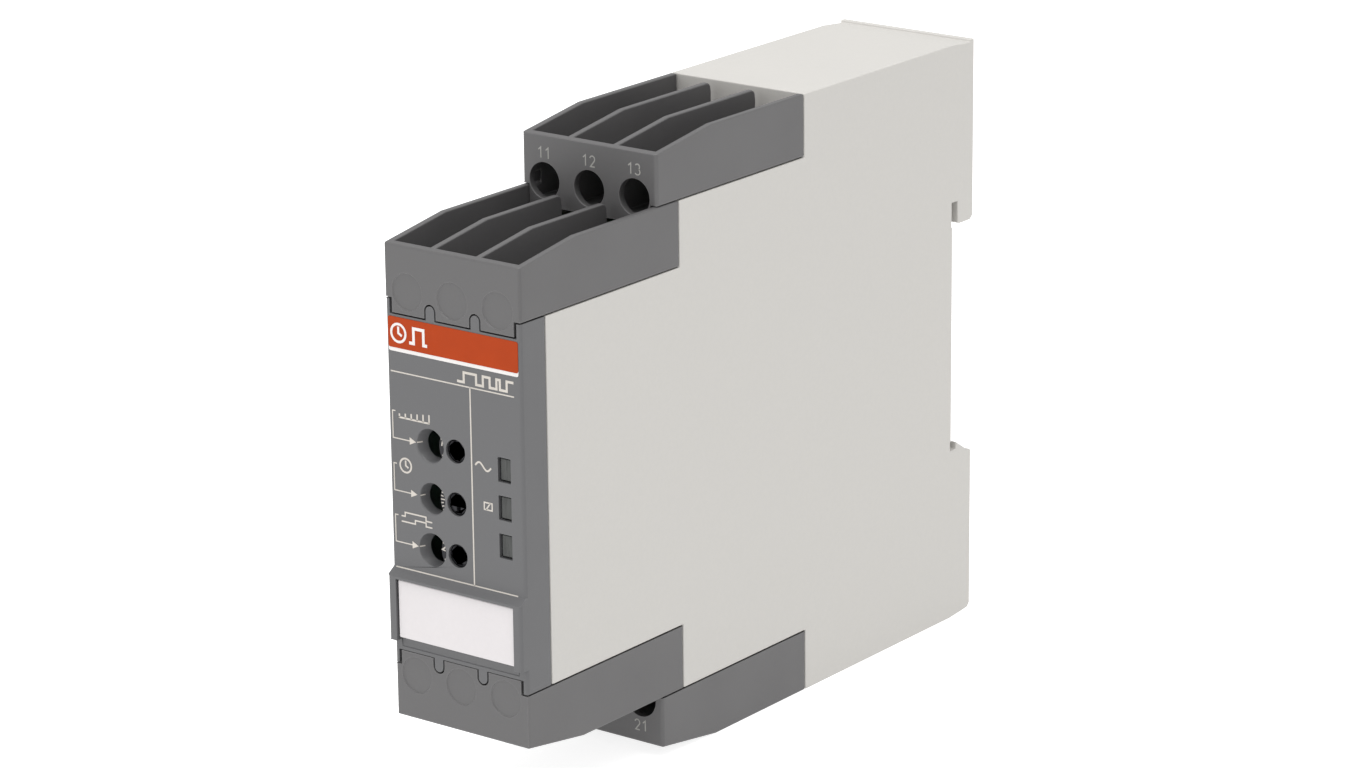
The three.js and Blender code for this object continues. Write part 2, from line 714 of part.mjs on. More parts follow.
// A surface-mount lamp with a domed lens.
function lamp(z) {
  const base = FRONT_BOARD[0] - 0.1;
  const lensBase = base - LAMP.body;
  const lensR = 0.45;
  const dome = [
    [0, LAMP.front],
    [lensR - 0.15, LAMP.front + 0.1],
    [lensR, lensBase],
    [lensR, lensBase + 0.2],
    [0, lensBase + 0.2],
  ];
  return joined(
    box(span(LAMP_X, LAMP.half[0]), [lensBase, base], span(z, LAMP.half[1])),
    turnedY(LAMP_X, z, dome, 12),
  );
}

// ---------------------------------------------------------------- boards and components

const FRONT_BOARD_SIZE = { half: 8.9, height: 20.2, holeZ: 17.5, holeR: 1.1 };

function frontBoard() {
  const { half, height, holeZ, holeR } = FRONT_BOARD_SIZE;
  return cut(
    box(span(0, half), FRONT_BOARD, span(0, height)),
    ...[-holeZ, holeZ].map((z) => rodY(0, z, holeR, [FRONT_BOARD[0] - PAST, FRONT_BOARD[1] + PAST], 16)),
  );
}

const MAIN_BOARD = { front: 12.0, back: 94.0, half: 28.5, notchBack: 31, notchZ: 21 };
const ON_BOARD = MAIN_BOARD_X[1] + 0.1; // where the components stand

function mainBoard() {
  const { front, back, half, notchBack, notchZ } = MAIN_BOARD;
  const beyond = half + PAST;
  const xs = [MAIN_BOARD_X[0] - PAST, MAIN_BOARD_X[1] + PAST];
  return cut(
    box(MAIN_BOARD_X, [front, back], span(0, half)),
    box(xs, [front - PAST, notchBack], [notchZ, beyond]),
    box(xs, [front - PAST, notchBack], [-beyond, -notchZ]),
  );
}

// The header that joins the two boards, with its row of pins.
const HEADER = { rows: 8, pitch: 2.0, y: [12.2, 14.7], height: 2.5, pin: 0.5 };

function boardConnector() {
  const { rows, pitch, y, height, pin } = HEADER;
  const first = (-(rows - 1) * pitch) / 2;
  const pinX = ON_BOARD + height / 2;
  const pins = Array.from({ length: rows }, (_, i) =>
    box(span(pinX, pin / 2), [FRONT_BOARD[1] + 0.1, y[0] + PAST], span(first + i * pitch, pin / 2)),
  );
  return joined(box([ON_BOARD, ON_BOARD + height], y, span(0, (rows * pitch) / 2)), ...pins);
}

const RELAY = { front: 76, back: 88.7, half: 14.5, base: [ON_BOARD, -6.7], top: 7.2, wall: 0.7 };
const relayY = (RELAY.front + RELAY.back) / 2;

const relayBase = () => box(RELAY.base, [RELAY.front, RELAY.back], span(0, RELAY.half));

function relayCover() {
  const { front, back, half, top, wall } = RELAY;
  const foot = RELAY.base[1] + 0.1;
  return cut(
    box([foot, top], [front, back], span(0, half)),
    box([foot - PAST, top - wall], [front + wall, back - wall], span(0, half - wall)),
  );
}

const COIL = { x: 1.0, z: [-10.6, 5.2], r: 3.6, flange: 0.8, flangeR: 4.8, boreR: 1.7 };
const YOKE = { arm: [-6.3, -4.9], end: [-12.2, -10.8], half: 4.2, coreR: 1.5, armEnd: 6.0 };

function relayCoil() {
  const [low, high] = COIL.z;
  const middle = (low + high) / 2;
  const length = high - low;
  const ring = (z, radius, height) => rod("z", [COIL.x, relayY, z], radius, height, 20);
  return cut(
    joined(
      ring(middle, COIL.r, length),
      ring(low + COIL.flange / 2, COIL.flangeR, COIL.flange),
      ring(high - COIL.flange / 2, COIL.flangeR, COIL.flange),
    ),
    ring(middle, COIL.boreR, length + 2 * PAST),
  );
}

// The relay's iron: a core through the coil, an end plate and an arm that runs up beside the coil.
function relayYoke() {
  const coreTop = COIL.z[1] + 0.3;
  const coreLow = YOKE.end[0] + 0.2;
  const across = span(relayY, YOKE.half);
  return joined(
    rod("z", [COIL.x, relayY, (coreTop + coreLow) / 2], YOKE.coreR, coreTop - coreLow, 16),
    box([YOKE.arm[0], COIL.x + 2.5], across, YOKE.end),
    box(YOKE.arm, across, [YOKE.end[0], YOKE.armEnd]),
  );
}

// The armature, which swings on the end of the yoke's arm, and the contact spring fixed to it.
const ARMATURE = { x: [-6.2, 4.0], half: 4.0, z: [6.3, 7.4] };
const SPRING = { x: [-3.0, 5.8], half: 1.2, z: [7.5, 7.8], contactX: 5.0, contactR: 0.8, contactHeight: 1.1 };
const CONTACT = {
  x: [-6.5, 5.8],
  stem: [4.9, 5.5],
  stemZ: [-0.2, 1.2],
  armX: 4.2,
  armFront: -2,
  armHalf: 0.2,
};

const relayArmature = () => box(ARMATURE.x, span(relayY, ARMATURE.half), ARMATURE.z);

function contactSpring() {
  const middle = (SPRING.z[0] + SPRING.z[1]) / 2;
  return joined(
    box(SPRING.x, span(relayY, SPRING.half), SPRING.z),
    rod("z", [SPRING.contactX, relayY, middle], SPRING.contactR, SPRING.contactHeight, 12),
  );
}

// A fixed contact: a stem from the relay's base and an arm that ends over or under the spring's contact.
function fixedContact(z) {
  const { x, stem, stemZ, armX, armFront, armHalf } = CONTACT;
  return joined(
    box(x, [relayY + stem[0], relayY + stem[1]], [z + stemZ[0], z + stemZ[1]]),
    box([armX, x[1]], [relayY + armFront, relayY + stem[0] + 0.2], span(z, armHalf)),
  );
}

const TRANSFORMER = {
  x: [-6.4, 4.6],
  y: [60, 73.5],
  half: 8.0,
  limb: 2.6,
  centreHalf: 2.2,
  stackInset: 2.5,
  gap: 0.15,
};

function transformerCore() {
  const { x, y, half, limb, centreHalf, stackInset } = TRANSFORMER;
  const openX = [x[0] + limb, x[1] - limb];
  return cut(
    box(x, [y[0] + stackInset, y[1] - stackInset], span(0, half)),
    box(openX, y, [centreHalf, half - limb]),
    box(openX, y, [-half + limb, -centreHalf]),
  );
}

function transformerWinding() {
  const { x, y, half, limb, centreHalf, stackInset, gap } = TRANSFORMER;
  const height = [x[0] + limb + gap, x[1] - limb - gap];
  const past = [height[0] - PAST, height[1] + PAST];
  const clear = 0.4;
  return cut(
    box(height, [y[0] + clear, y[1] - clear], span(0, half - limb - gap)),
    box(past, [y[0] + stackInset - gap, y[1] - stackInset + gap], span(0, centreHalf + gap)),
  );
}

// An electrolytic capacitor, standing off the main board along x, with the groove that holds its rubber foot.
function canCapacitor(y, z, r, height) {
  const edge = 0.4;
  const profile = [
    [0, 0],
    [r - edge, 0],
    [r, edge],
    [r, 1.4],
    [r - edge, 1.9],
    [r, 2.4],
    [r, height - edge],
    [r - edge, height],
    [0, height],
  ].map(([radius, along]) => new THREE.Vector2(radius, along));
  const geometry = new THREE.LatheGeometry(profile, 20);
  geometry.rotateZ(-Math.PI / 2);
  geometry.translate(ON_BOARD, y, z);
  return solid(geometry);
}

const filmCapacitor = () => box([ON_BOARD, 3.5], [46.5, 52.5], [-19, -6]);

const VARISTOR = { x: -1.3, y: 49.5, z: 12, r: 5.2, half: 1.9, legZ: 2.5, legHalf: 0.3, legEnd: -3.0 };

function varistor() {
  const { x, y, z, r, half, legZ, legHalf, legEnd } = VARISTOR;
  const leg = (dz) => box([ON_BOARD, legEnd], span(y, legHalf), span(z + dz, legHalf));
  return joined(rodY(x, z, r, span(y, half), 24), leg(-legZ), leg(legZ));
}

const CHIP = {
  y: [21.6, 29],
  half: 6.5,
  height: 2.5,
  lift: 0.3,
  legs: 10,
  pitch: 1.27,
  legReach: 1.6,
  legHalf: 0.2,
};

// The controller chip, with its two rows of legs.
function microcontroller() {
  const { y, half, height, lift, legs, pitch, legReach, legHalf } = CHIP;
  const first = (-(legs - 1) * pitch) / 2;
  const legYs = [y[0] - legReach, y[1] + legReach];
  const leg = (i) => box([ON_BOARD, ON_BOARD + 2 * lift], legYs, span(first + pitch * i, legHalf));
  return joined(
    box([ON_BOARD + lift, ON_BOARD + height], y, span(0, half)),
    ...Array.from({ length: legs }, (_, i) => leg(i)),
  );
}

// ---------------------------------------------------------------- assembly

place("housing", housing(), lightGrey);
place("rail_spring", railSpring(), steel);
place("front_cover", frontCover(), darkGrey);
place("accent_stripe", accentStripe(), orange);
place("marker_label", markerLabel(), white);

["range", "time", "function"].forEach((name, i) => {
  place(`${name}_dial`, dial(DIAL_ZS[i]), black);
  place(`${name}_${name === "time" ? "potentiometer" : "switch"}`, rotaryBody(DIAL_ZS[i]), black);
});
["supply", "relay", "spare"].forEach((name, i) => {
  place(`light_pipe_${name}`, lightPipe(LIGHT_ZS[i]), smoke);
  place(`lamp_${name}`, lamp(LIGHT_ZS[i]), ledBody);
});

for (const [half, group, boardSide] of [["upper", upperHalf, -1], ["lower", lowerHalf, 1]]) {
  place(`${half}_front_terminal_block`, frontBlock(), darkGrey, group);
  place(`${half}_rear_terminal_block`, rearBlock(), darkGrey, group);
  TERMINAL_XS.forEach((x, i) => {
    const level = boardSide < 0 ? i : 2 - i;
    place(`${half}_clamp_screw_${i + 1}`, clampScrew(x), steel, group);
    place(`${half}_clamp_cage_${i + 1}`, clampCage(x), steel, group);
    place(`${half}_contact_bar_${i + 1}`, contactBar(x, level, boardSide), copper, group);
  });
}

place("front_board", frontBoard(), laminate);
place("main_board", mainBoard(), laminate);
place("board_connector", boardConnector(), black);
place("relay_base", relayBase(), black);
place("relay_cover", relayCover(), relayBlue);
place("relay_coil", relayCoil(), winding);
place("relay_yoke", relayYoke(), steel);
place("relay_armature", relayArmature(), steel);
place("relay_contact_spring", contactSpring(), copper);
place("relay_rest_contact", fixedContact(8.5), copper);
place("relay_work_contact", fixedContact(5.7), copper);
place("transformer_core", transformerCore(), ferrite);
place("transformer_winding", transformerWinding(), winding);
place("input_capacitor", canCapacitor(67, 18, 5.0, 16), capacitorSleeve);
place("output_capacitor", canCapacitor(66, -18, 4.0, 11.5), capacitorSleeve);
place("film_capacitor", filmCapacitor(), ledBody);
place("varistor", varistor(), varistorBlue);
place("microcontroller", microcontroller(), black);

const timer = new THREE.Group();
timer.add(assembly);

export default timer;
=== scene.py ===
import json
import math

import bmesh
import bpy
from mathutils import Matrix, Vector


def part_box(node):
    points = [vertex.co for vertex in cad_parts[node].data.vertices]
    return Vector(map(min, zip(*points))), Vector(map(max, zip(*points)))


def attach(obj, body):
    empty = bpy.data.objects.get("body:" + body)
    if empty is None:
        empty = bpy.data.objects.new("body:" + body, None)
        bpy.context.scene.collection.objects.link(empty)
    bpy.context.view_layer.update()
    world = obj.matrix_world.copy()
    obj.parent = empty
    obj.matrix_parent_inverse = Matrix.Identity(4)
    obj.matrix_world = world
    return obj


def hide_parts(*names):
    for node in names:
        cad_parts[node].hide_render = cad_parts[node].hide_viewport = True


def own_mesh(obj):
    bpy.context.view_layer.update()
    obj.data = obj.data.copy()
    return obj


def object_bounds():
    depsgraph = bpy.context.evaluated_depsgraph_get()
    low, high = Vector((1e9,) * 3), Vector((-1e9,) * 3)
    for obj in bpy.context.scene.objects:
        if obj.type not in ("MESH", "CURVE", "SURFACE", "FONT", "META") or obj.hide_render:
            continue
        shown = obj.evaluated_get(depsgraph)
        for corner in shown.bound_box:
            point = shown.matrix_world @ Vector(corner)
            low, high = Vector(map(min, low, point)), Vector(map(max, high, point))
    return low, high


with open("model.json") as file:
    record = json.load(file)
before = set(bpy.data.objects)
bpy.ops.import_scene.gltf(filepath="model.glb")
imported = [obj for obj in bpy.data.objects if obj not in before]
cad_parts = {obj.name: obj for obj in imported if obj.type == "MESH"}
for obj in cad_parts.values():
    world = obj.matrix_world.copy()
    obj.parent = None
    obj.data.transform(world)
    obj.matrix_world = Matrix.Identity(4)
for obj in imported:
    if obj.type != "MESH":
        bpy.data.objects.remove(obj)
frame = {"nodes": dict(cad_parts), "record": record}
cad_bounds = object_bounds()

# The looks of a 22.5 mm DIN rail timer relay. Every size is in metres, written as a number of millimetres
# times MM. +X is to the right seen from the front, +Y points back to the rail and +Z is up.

MM = 0.001
ROOT_BODY = "timer"

record = frame["record"]
scene = bpy.context.scene
body_of = {node: body for body, nodes in record["behaviour"]["bodies"].items() for node in nodes}
slot_of = {part["node"]: part["material_slot"] for part in record["subparts"]}


def centre(node):
    low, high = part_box(node)
    return (low + high) / 2


# ---------------------------------------------------------------- places taken from the frame

FACE_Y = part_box("upper_front_terminal_block")[0].y
REAR_FACE_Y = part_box("upper_rear_terminal_block")[0].y
FACE_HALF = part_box("front_cover")[1].x
DIALS = {name: centre(name + "_dial") for name in ("range", "time", "function")}
LAMPS = {name: centre("light_pipe_" + name) for name in ("supply", "relay")}
STRIPE_LOW, STRIPE_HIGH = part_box("accent_stripe")
MIDDLE = (Vector(cad_bounds[0]) + Vector(cad_bounds[1])) / 2
FLOOR_Z = cad_bounds[0][2] - 0.05 * MM
NEAR = 0.1 * MM  # points this close to a plane count as on it

# ---------------------------------------------------------------- shader node helpers


class Shader:
    """A material with a Principled shader, and short ways to add and link nodes to it."""

    def __init__(self, name):
        self.material = bpy.data.materials.new(name)
        self.material.use_nodes = True
        self.tree = self.material.node_tree
        self.surface = self.tree.nodes["Principled BSDF"]
        self.place = self.add("ShaderNodeTexCoord").outputs["Object"]

    def add(self, kind, **settings):
        node = self.tree.nodes.new(kind)
        for key, value in settings.items():
            setattr(node, key, value)
        return node

    def link(self, source, target):
        self.tree.links.new(source, target)

    def noise(self, cell, detail, stretch=(1, 1, 1)):
        """A noise whose cells are about that many metres across."""
        mapping = self.add("ShaderNodeMapping")
        mapping.inputs["Scale"].default_value = stretch
        self.link(self.place, mapping.inputs["Vector"])
        texture = self.add("ShaderNodeTexNoise")
        texture.inputs["Scale"].default_value = 1 / cell
        texture.inputs["Detail"].default_value = detail
        texture.inputs["Roughness"].default_value = 0.55
        self.link(mapping.outputs["Vector"], texture.inputs["Vector"])
        return texture.outputs["Fac"]

    def remap(self, value, low, high, start=0.25, end=0.75):
        """The value, spread from start..end to low..high."""
        node = self.add("ShaderNodeMapRange")
        self.link(value, node.inputs["Value"])
        limits = {"From Min": start, "From Max": end, "To Min": low, "To Max": high}
        for key, limit in limits.items():
            node.inputs[key].default_value = limit
        return node.outputs["Result"]

    def mix(self, factor, first, second):
        """Two colours, mixed by a value."""
        node = self.add("ShaderNodeMix", data_type="RGBA")
        self.link(factor, node.inputs["Factor"])
        for socket, colour in (("A", first), ("B", second)):
            target = next(s for s in node.inputs if s.name == socket and s.type == "RGBA")
            if isinstance(colour, tuple):
                target.default_value = (*colour, 1)
            else:
                self.link(colour, target)
        return next(s for s in node.outputs if s.type == "RGBA")

    def edges(self, radius):
        """Near 1 along convex and concave edges, and 0 on flat ground."""
        soft = self.add("ShaderNodeBevel", samples=4)
        soft.inputs["Radius"].default_value = radius
        facing = self.add("ShaderNodeNewGeometry")
        dot = self.add("ShaderNodeVectorMath", operation="DOT_PRODUCT")
        self.link(soft.outputs["Normal"], dot.inputs[0])
        self.link(facing.outputs["Normal"], dot.inputs[1])
        return self.remap(dot.outputs["Value"], 1, 0, start=0.8, end=0.995)

    def bump(self, height, depth, strength, below=None):
        """A bump of that depth, laid over another one if there is one below."""
        node = self.add("ShaderNodeBump")
        node.inputs["Distance"].default_value = depth
        node.inputs["Strength"].default_value = strength
        self.link(height, node.inputs["Height"])
        if below is not None:
            self.link(below, node.inputs["Normal"])
        return node.outputs["Normal"]

    def set(self, **values):
        """Numbers and colours go on the shader's own sockets, and the rest is linked to them."""
        for name, value in values.items():
            socket = self.surface.inputs[name.replace("_", " ")]
            if isinstance(value, (int, float)):
                socket.default_value = value
            elif isinstance(value, tuple):
                socket.default_value = (*value, 1)
            else:
                self.link(value, socket)


def scaled(colour, factor):
    """The colour made lighter or darker."""
    return tuple(min(1.0, channel * factor) for channel in colour)


# ---------------------------------------------------------------- materials


def moulded_plastic(
    name,
    colour,
    rough=0.5,
    grain=0.22 * MM,
    depth=0.012 * MM,
    edge_wear_and_highlight=1.45,
    blotch=0.05,
    shine=0.35,
):
    """Injection-moulded plastic: spark-eroded grain, faint flow blotches, and edges painted lighter, partly
    as wear from handling and partly as a painted highlight.
    """
    shader = Shader(name)
    blotches = shader.noise(9 * MM, detail=4)
    ground = shader.mix(shader.remap(blotches, 0, 1), scaled(colour, 1 - blotch), scaled(colour, 1 + blotch))
    speck = shader.remap(shader.noise(0.5 * MM, detail=2), 0, 0.35)
    speckled = shader.mix(speck, ground, scaled(colour, 0.93))
    # Convex and concave edges are painted lighter: partly wear, partly a painted highlight where light
    # catches wall tops and rims.
    worn = shader.mix(shader.edges(0.25 * MM), speckled, scaled(colour, edge_wear_and_highlight))
    fine = shader.noise(grain, detail=2)
    waves = shader.noise(6 * MM, detail=1)
    sink = shader.bump(waves, 0.05 * MM, 0.25)
    shader.set(
        Base_Color=worn,
        Roughness=shader.remap(blotches, rough - 0.05, rough + 0.07),
        Normal=shader.bump(fine, depth, 0.6, sink),
        Specular_IOR_Level=shine,
    )
    return shader.material


def printed_foil(name, colour, edge=0.8, shine=0.2):
    """A coloured film or ink with a satin varnish and a faint orange peel."""
    shader = Shader(name)
    tone = shader.noise(5 * MM, detail=3)
    ground = shader.mix(shader.remap(tone, 0, 1), scaled(colour, 0.93), scaled(colour, 1.07))
    worn = shader.mix(shader.edges(0.12 * MM), ground, scaled(colour, edge))
    peel = shader.noise(0.7 * MM, detail=2)
    shader.set(
        Base_Color=worn,
        Roughness=shader.remap(peel, 0.4, 0.52),
        Normal=shader.bump(peel, 0.006 * MM, 0.5),
        Specular_IOR_Level=shine,
    )
    return shader.material


def smoked_window(name, colour):
    """Tinted window plastic, dark because nothing is lit behind it, with the uneven tone of a diffuser."""
    shader = Shader(name)
    depth = shader.noise(1.1 * MM, detail=3, stretch=(2.5, 1, 0.4))
    ground = shader.mix(shader.remap(depth, 0, 1), scaled(colour, 0.75), scaled(colour, 1.3))
    rim = shader.mix(shader.edges(0.2 * MM), ground, scaled(colour, 1.5))
    shader.set(
        Base_Color=rim,
        Roughness=shader.remap(depth, 0.22, 0.34),
        Normal=shader.bump(depth, 0.02 * MM, 0.4),
        Specular_IOR_Level=0.22,
    )
    return shader.material


def plated_metal(name, colour, roughness=0.32):
    """Zinc or tin plating: fine drawing marks along one way, clouded, and brighter where edges rub."""
    shader = Shader(name)
    marks = shader.noise(0.35 * MM, detail=4, stretch=(1, 1, 9))
    clouds = shader.noise(2.2 * MM, detail=4)
    ground = shader.mix(shader.remap(clouds, 0, 1), scaled(colour, 0.85), scaled(colour, 1.08))
    worn = shader.mix(shader.edges(0.15 * MM), ground, scaled(colour, 1.25))
    shader.set(
        Base_Color=worn,
        Metallic=1.0,
        Roughness=shader.remap(marks, roughness - 0.08, roughness + 0.12),
        Normal=shader.bump(marks, 0.01 * MM, 0.4),
    )
    return shader.material


def circuit_laminate(name, colour):
    """Solder resist over copper tracks, which stand a little proud and show lighter."""
    shader = Shader(name)
    tracks = shader.add("ShaderNodeTexBrick")
    tracks.inputs["Scale"].default_value = 1 / (3.2 * MM)
    tracks.inputs["Mortar Size"].default_value = 0.09
    tracks.inputs["Brick Width"].default_value = 0.9
    shader.link(shader.place, tracks.inputs["Vector"])
    track = tracks.outputs["Fac"]
    cloth = shader.noise(0.6 * MM, detail=2)
    ground = shader.mix(shader.remap(cloth, 0, 1), scaled(colour, 0.85), scaled(colour, 1.1))
    traced = shader.mix(track, ground, scaled(colour, 1.7))
    weave = shader.bump(cloth, 0.008 * MM, 0.4)
    shader.set(
        Base_Color=shader.mix(shader.edges(0.15 * MM), traced, (0.45, 0.42, 0.26)),
        Roughness=shader.remap(cloth, 0.3, 0.45),
        Normal=shader.bump(track, 0.03 * MM, 0.7, weave),
        Coat_Weight=0.3,
        Coat_Roughness=0.2,
    )
    return shader.material


WIRE = 0.22 * MM


def wound_wire(name, colour):
    """Enamelled wire in layers: ridges round the coil, a little uneven, with painted shade in the grooves
    between turns.
    """
    shader = Shader(name)
    turns = shader.add("ShaderNodeTexWave", bands_direction="Z")
    turns.inputs["Scale"].default_value = 1 / (WIRE * 3.2)
    turns.inputs["Distortion"].default_value = 0.6
    shader.link(shader.place, turns.inputs["Vector"])
    ridge = turns.outputs["Fac"]
    varnish = shader.noise(1.5 * MM, detail=3)
    # The grooves between turns are painted darker, as painted shade.
    ground = shader.mix(ridge, scaled(colour, 0.45), colour)
    clouded = shader.mix(shader.remap(varnish, 0, 0.5), ground, scaled(colour, 1.2))
    shader.set(
        Base_Color=shader.mix(shader.edges(0.15 * MM), clouded, scaled(colour, 1.3)),
        Metallic=0.6,
        Roughness=shader.remap(varnish, 0.28, 0.42),
        Normal=shader.bump(ridge, 0.06 * MM, 0.8),
    )
    return shader.material


HOUSING_GREY = (0.45, 0.438, 0.416)
BLOCK_GREY = (0.0735, 0.0716, 0.0725)
COVER_GREY = (0.0775, 0.0775, 0.0803)
STRIPE_ORANGE = (0.312, 0.038, 0.006)
LABEL_WHITE = (0.535, 0.512, 0.517)
BLACK = (0.017, 0.017, 0.02)
SMOKE = (0.05, 0.052, 0.05)
BOARD_GREEN = (0.035, 0.16, 0.07)
ZINC = (0.6, 0.6, 0.6)
BRASS = (0.72, 0.52, 0.28)
COPPER = (0.5, 0.18, 0.07)
FERRITE_BLACK = (0.03, 0.03, 0.034)
RELAY_BLUE = (0.05, 0.15, 0.42)
SLEEVE_BLUE = (0.03, 0.045, 0.08)
VARISTOR_BLUE = (0.04, 0.19, 0.42)
IVORY = (0.74, 0.7, 0.5)

# For each slot of the record, the kind of surface, its colour and what differs from that kind's usual values.
SURFACES = {
    # The edge factors below paint edges lighter, partly as wear and partly as a painted highlight; on the
    # terminal blocks the light wall tops are mostly painted highlight.
    "housing_plastic": (moulded_plastic, HOUSING_GREY, dict(edge_wear_and_highlight=1.1, blotch=0.015)),
    "block_plastic": (moulded_plastic, BLOCK_GREY, dict(edge_wear_and_highlight=1.9, shine=0.6)),
    "cover_plastic": (moulded_plastic, COVER_GREY, dict(edge_wear_and_highlight=1.3, shine=0.6)),
    "stripe_foil": (printed_foil, STRIPE_ORANGE, dict(shine=0.08)),
    "label_plastic": (
        moulded_plastic,
        LABEL_WHITE,
        dict(rough=0.42, grain=0.15 * MM, depth=0.004 * MM, edge_wear_and_highlight=1.1, blotch=0.015),
    ),
    "black_plastic": (moulded_plastic, BLACK, dict(rough=0.38, edge_wear_and_highlight=1.5, shine=0.2)),
    "smoked_plastic": (smoked_window, SMOKE, {}),
    "laminate": (circuit_laminate, BOARD_GREEN, {}),
    "plated_steel": (plated_metal, ZINC, {}),
    "contact_metal": (plated_metal, BRASS, dict(roughness=0.3)),
    "copper_winding": (wound_wire, COPPER, {}),
    "ferrite": (moulded_plastic, FERRITE_BLACK, dict(rough=0.55, grain=0.3 * MM, depth=0.03 * MM, edge_wear_and_highlight=1.7)),
    "relay_plastic": (moulded_plastic, RELAY_BLUE, dict(rough=0.3, edge_wear_and_highlight=1.3)),
    "sleeve_plastic": (moulded_plastic, SLEEVE_BLUE, dict(rough=0.35, edge_wear_and_highlight=1.5)),
    "varistor_coating": (
        moulded_plastic,
        VARISTOR_BLUE,
        dict(rough=0.45, grain=0.5 * MM, depth=0.05 * MM, edge_wear_and_highlight=1.2),
    ),
    "ivory_plastic": (moulded_plastic, IVORY, dict(rough=0.35, edge_wear_and_highlight=1.1, blotch=0.02)),
}
MATERIALS = {slot: kind(slot, colour, **other) for slot, (kind, colour, other) in SURFACES.items()}

CREAM_INK = printed_foil("cream_ink", (0.47, 0.44, 0.4), edge=0.95)
WHITE_INK = printed_foil("white_ink", (0.6, 0.58, 0.57), edge=0.95)
FAINT_INK = printed_foil("faint_ink", (0.29, 0.285, 0.27), edge=0.95)

for node, cad_object in frame["nodes"].items():
    cad_object.material_slots[0].material = MATERIALS[slot_of[node]]

# ---------------------------------------------------------------- making pieces


def new_piece(name, mesh, body, slot, material=None):
    """A mesh as a scene object with its slot's material, or another, moving with a CAD body."""
    piece = bpy.data.objects.new(name, mesh)
    scene.collection.objects.link(piece)
    mesh.materials.clear()
    mesh.materials.append(material or MATERIALS[slot])
    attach(piece, body)
    return piece


def mesh_from(build, name):
    """The bmesh's faces, turned outwards, as a mesh."""
    bmesh.ops.recalc_face_normals(build, faces=build.faces[:])
    mesh = bpy.data.meshes.new(name)
    build.to_mesh(mesh)
    build.free()
    return mesh


def apply_modifiers(piece):
    bpy.context.view_layer.update()
    ready = piece.evaluated_get(bpy.context.evaluated_depsgraph_get())
    mesh = bpy.data.meshes.new_from_object(ready)
    piece.modifiers.clear()
    piece.data = mesh


WELD = 0.001 * MM
FLAT = math.radians(0.5)
SHARP = math.radians(28)


def finished(node, radius_at, largest, segments=3, body=None):
    """A copy of a CAD node with every sharp edge rounded.

    radius_at gives an edge's radius from its middle and the way it runs. largest is the greatest such radius.
    """
    mesh = frame["nodes"][node].data.copy()
    build = bmesh.new()
    build.from_mesh(mesh)
    bmesh.ops.remove_doubles(build, verts=build.verts[:], dist=WELD)
    bmesh.ops.dissolve_limit(build, angle_limit=FLAT, verts=build.verts[:], edges=build.edges[:])
    weight = build.edges.layers.float.new("bevel_weight_edge")
    for edge in build.edges:
        if len(edge.link_faces) == 2 and edge.calc_face_angle() > SHARP:
            start, end = (vertex.co for vertex in edge.verts)
            edge[weight] = radius_at((start + end) / 2, (end - start).normalized()) / largest
    for face in build.faces:
        face.smooth = True
    build.to_mesh(mesh)
    build.free()
    piece = new_piece(node + "_finished", mesh, body or body_of[node], slot_of[node])
    bevel = piece.modifiers.new("rounding", "BEVEL")
    bevel.width = largest
    bevel.segments = segments
    bevel.limit_method = "WEIGHT"
    bevel.use_clamp_overlap = False
    normals = piece.modifiers.new("normals", "WEIGHTED_NORMAL")
    normals.mode = "FACE_AREA"
    apply_modifiers(piece)
    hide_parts(node)
    return piece


def along(way, axis):
    """Whether a direction runs along X (0), Y (1) or Z (2)."""
    return abs(way[axis]) > 0.99


# ---------------------------------------------------------------- mouldings

CORNER = 0.5 * MM
SEAM_EDGE = 0.08 * MM
SMALL_EDGE = 0.12 * MM
WALL_EDGE = 0.22 * MM
HOUSING_EDGE = 0.2 * MM
RIM_SOFTNESS = 0.2 * MM

WINDOW_REACH = 2.4 * MM
WINDOW_X = -1.9 * MM - WINDOW_REACH
RIM_ZONE = WINDOW_REACH + 0.2 * MM


def window_rim(middle):
    """The radius of an upper reading window's rim, softer below and on the left, or None away from one.

    The lowest window keeps a fine rim, because the face is divided close beside it.
    """
    if middle.y > FACE_Y + NEAR:
        return None
    for dial in (DIALS["range"], DIALS["time"]):
        across = middle.x - WINDOW_X
        above = middle.z - dial.z
        if math.hypot(across, above) < RIM_ZONE:
            below = max(0, -above) / WINDOW_REACH
            left = max(0, -across) / WINDOW_REACH
            return SEAM_EDGE + RIM_SOFTNESS * min(1, below + 0.4 * left)
    return None


def on_front_corner(middle, way, front_y):
    """Whether an edge is one of the upright corners at the side of the face."""
    return along(way, 2) and abs(middle.x) > FACE_HALF - NEAR and middle.y < front_y + NEAR


def cover_radius(middle, way):
    rim = window_rim(middle)
    if rim is not None:
        return rim
    return CORNER if on_front_corner(middle, way, FACE_Y) else SEAM_EDGE


WALL_ZONE = 3 * MM


def block_radius(node):
    """The radii on a terminal block: its front corners, the tops of its walls and all other edges."""
    low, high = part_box(node)
    outer = max(abs(low.z), abs(high.z))

    def radius_at(middle, way):
        if on_front_corner(middle, way, low.y):
            return CORNER
        if abs(middle.z) > outer - WALL_ZONE and not along(way, 2):
            return WALL_EDGE
        return SEAM_EDGE

    return radius_at


def housing_radius(middle, way):
    outside = abs(middle.x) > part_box("housing")[1].x - NEAR or along(way, 0)
    return HOUSING_EDGE if outside else SEAM_EDGE


finished("housing", housing_radius, HOUSING_EDGE)
finished("front_cover", cover_radius, CORNER)
for half in ("upper", "lower"):
    for tier in ("front", "rear"):
        block = "%s_%s_terminal_block" % (half, tier)
        finished(block, block_radius(block), CORNER)

# ---------------------------------------------------------------- small parts

